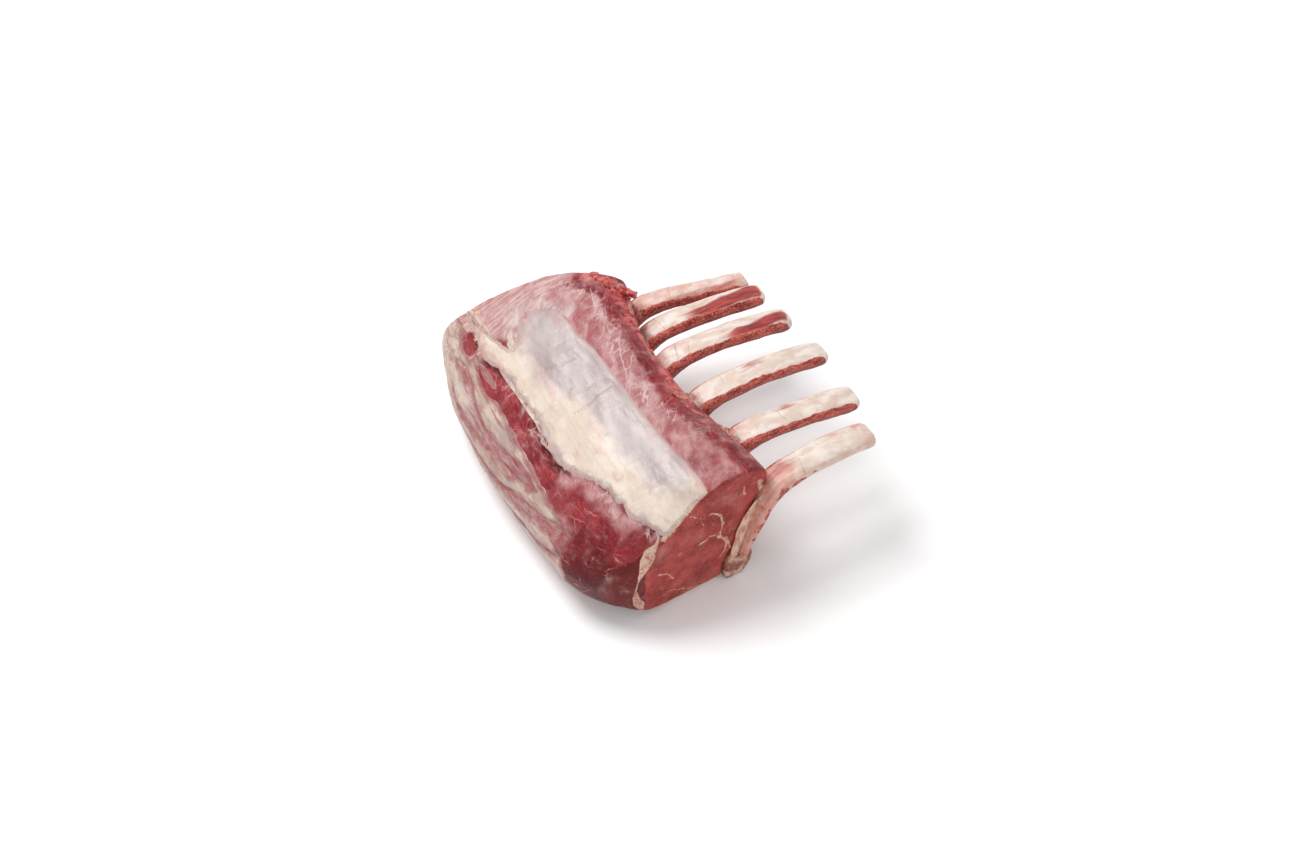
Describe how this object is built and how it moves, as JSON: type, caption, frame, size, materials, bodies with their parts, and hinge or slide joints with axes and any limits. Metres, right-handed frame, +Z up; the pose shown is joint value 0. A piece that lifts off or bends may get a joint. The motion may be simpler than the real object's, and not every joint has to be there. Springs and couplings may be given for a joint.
{
  "type": "frenched rack of veal",
  "caption": "Raw rack of veal lying on its spine side: the loin under a cover of fat and silverskin, bared rib bones arching out from a sawn backbone.",
  "frame": {"origin": "centre of the footprint on the table, at the middle of the bounding box's bottom", "axes": "+Z up, +X along the spine towards the cut end with the eye of the loin, +Y along the bared ribs towards their sawn tips"},
  "size_m": [0.288, 0.2513, 0.1116],
  "materials": {
    "loin_muscle": "raw red muscle, moist, cut face with fine marbling, membrane on the rib side",
    "back_muscle": "darker raw red muscle, moist",
    "fat_cover": "cream fat under grey-lilac silverskin, satin",
    "back_fat": "thin cream and grey fat with dark streaks of meat, satin",
    "chine": "sawn red-brown vertebra bone, rough and moist",
    "rib_bone": "scraped cream bone, moist, with strips of red meat left on its lower side"
  },
  "bodies": {
    "root": {"loin_muscle": "loin_muscle", "back_muscle": "back_muscle", "fat_cover": "fat_cover", "back_fat": "back_fat", "chine": "chine", "rib_1": "rib_bone", "rib_2": "rib_bone", "rib_3": "rib_bone", "rib_4": "rib_bone", "rib_5": "rib_bone", "rib_6": "rib_bone"}
  },
  "joints": []
}
